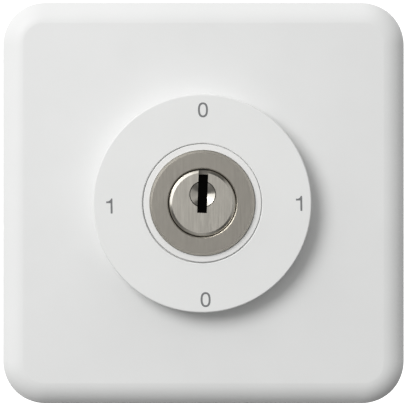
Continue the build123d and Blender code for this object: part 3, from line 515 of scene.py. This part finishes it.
# ------------------------------------------------------------------------------------------------------
# Floor, light and camera; places are in metres from here on
# ------------------------------------------------------------------------------------------------------

white = 1.6                     # brightness of the empty room, past the end of the tone curve
reach = 0.8                     # from the floor's middle to its edge

floor_mesh = bpy.data.meshes.new("floor")
floor_mesh.from_pydata(
    [(-reach, -reach, 0), (reach, -reach, 0), (reach, reach, 0), (-reach, reach, 0)], [], [(0, 1, 2, 3)]
)
floor = bpy.data.objects.new("floor", floor_mesh)
bpy.context.scene.collection.objects.link(floor)
floor.location = (0, 0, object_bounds()[0].z)
floor.visible_diffuse = False
floor.visible_glossy = False

paint = Finish("floor_paper")
paper = paint.blend(paint.spread(paint.noise(40.0), 0.0, 1.0), (0.86, 0.86, 0.86), (0.88, 0.88, 0.88))
# seen edge-on, as the camera sees it, the paper is as white as the room behind it
steepness = paint.add("ShaderNodeLayerWeight")
edge_on = paint.spread(steepness.outputs["Facing"], 0.0, 1.0, 0.86, 0.93)
paint.set(Base_Color=paint.blend(edge_on, paper, (0.0, 0.0, 0.0)), Roughness=0.9, Specular_IOR_Level=0.0)
paint.set(Emission_Color=(1, 1, 1, 1), Emission_Strength=paint.spread(edge_on, 0.5, white, 0.0, 1.0))
floor.data.materials.append(paint.material)

# The room: white to the camera, soft for the plastic, and for the metal's reflections a ring of brighter
# and darker walls round a dim front, so that each bevel shows where it points.
world = bpy.data.worlds.new("studio")
bpy.context.scene.world = world
world.use_nodes = True
room = Nodes(world.node_tree, "Generated")

walls = [
    # degrees anticlockwise from the right as the user sees it, brightness
    (-180, 1.4), (-174, 0.35), (-160, 0.12), (-135, 0.15), (-112, 0.3), (-90, 0.38), (-70, 0.2),
    (-50, 0.08), (-35, 0.12), (-15, 0.36), (0, 0.42), (25, 0.5), (38, 0.4), (50, 0.1), (72, 0.1),
    (84, 0.3), (98, 0.9), (120, 1.5), (150, 1.7), (172, 1.5), (180, 1.4),
]
brightest = max(brightness for angle, brightness in walls)
front_light = 0.30

azimuth = room.math("ARCTAN2", room.axis("Z"), room.axis("X"))
ring = room.add("ShaderNodeValToRGB")
ring.color_ramp.interpolation = "EASE"
stops = ring.color_ramp.elements
for angle, brightness in walls[1:-1]:
    stops.new((angle + 180) / 360)
for stop, (angle, brightness) in zip(stops, walls):
    stop.color = [brightness / brightest] * 3 + [1.0]
room.join(room.spread(azimuth, 0.0, 1.0, -pi, pi), ring.inputs[0])
wall_light = room.math("MULTIPLY", ring.outputs[0], brightest)
frontal = room.spread(room.axis("Y"), 1.0, 0.0, -0.88, -0.5)
mirrored = room.mix(frontal, wall_light, front_light)

# for matt surfaces: a gradient from above to below that leans to the left
upward = room.math("MULTIPLY", room.axis("Z"), 0.95)
rightward = room.math("MULTIPLY", room.axis("X"), 0.36)
soft = room.spread(room.math("SUBTRACT", upward, rightward), 0.06, 0.86, -1.0, 1.0)

rays = room.add("ShaderNodeLightPath")
seen = room.mix(rays.outputs["Is Camera Ray"], room.mix(rays.outputs["Is Glossy Ray"], soft, mirrored), white)
background = room.add("ShaderNodeBackground")
background.inputs["Color"].default_value = (1.0, 1.0, 0.995, 1.0)
room.put(background.inputs["Strength"], seen)
room.join(background.outputs[0], room.add("ShaderNodeOutputWorld").inputs["Surface"])


def disk_light(name, place, size, watts):
    """A round lamp that points at the switch."""
    light = bpy.data.lights.new(name, "AREA")
    light.shape = "DISK"
    light.size = size
    light.energy = watts
    obj = bpy.data.objects.new(name, light)
    bpy.context.scene.collection.objects.link(obj)
    obj.location = place
    obj.rotation_euler = (-Vector(place)).to_track_quat("-Z", "Y").to_euler()


key_distance = 0.8
key_height = radians(51)        # of the key light above the plate's plane
key_azimuth = radians(141)      # anticlockwise from the right, as the user sees it
across = key_distance * cos(key_height)
key_place = (across * cos(key_azimuth), -key_distance * sin(key_height), across * sin(key_azimuth))
disk_light("key", key_place, 0.45, 4.13)
disk_light("rear_fill", (0.35, 0.7, 0.45), 0.5, 3.0)

camera_distance = 0.70
frame_width = 0.08751           # what the picture spans at the wall plane
sensor_width = 36.0             # millimetres, as the lens
camera_data = bpy.data.cameras.new("camera")
camera_data.sensor_width = sensor_width
camera_data.lens = sensor_width * camera_distance / frame_width
camera_data.clip_start = 0.01
camera_data.clip_end = 10.0
camera = bpy.data.objects.new("camera", camera_data)
plate_low, plate_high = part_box("cover_plate")
camera.location = ((plate_low.x + plate_high.x) / 2, -camera_distance, -0.0001)
camera.rotation_euler = (pi / 2, 0, 0)
bpy.context.scene.collection.objects.link(camera)
bpy.context.scene.camera = camera

# the brightest tones of the white plastic level off gently, as they do on film
view = bpy.context.scene.view_settings
view.view_transform = "Standard"
view.look = "None"
view.use_curve_mapping = True
tone_curve = view.curve_mapping.curves[3]
tone_curve.points[1].location = (1.0, 0.93)
for scene_light, shown in ((0.78, 0.78), (0.9, 0.875)):
    tone_curve.points.new(scene_light, shown)
for point in tone_curve.points:
    point.handle_type = "VECTOR"
view.curve_mapping.extend = "EXTRAPOLATED"
view.curve_mapping.use_clip = False
view.curve_mapping.update()
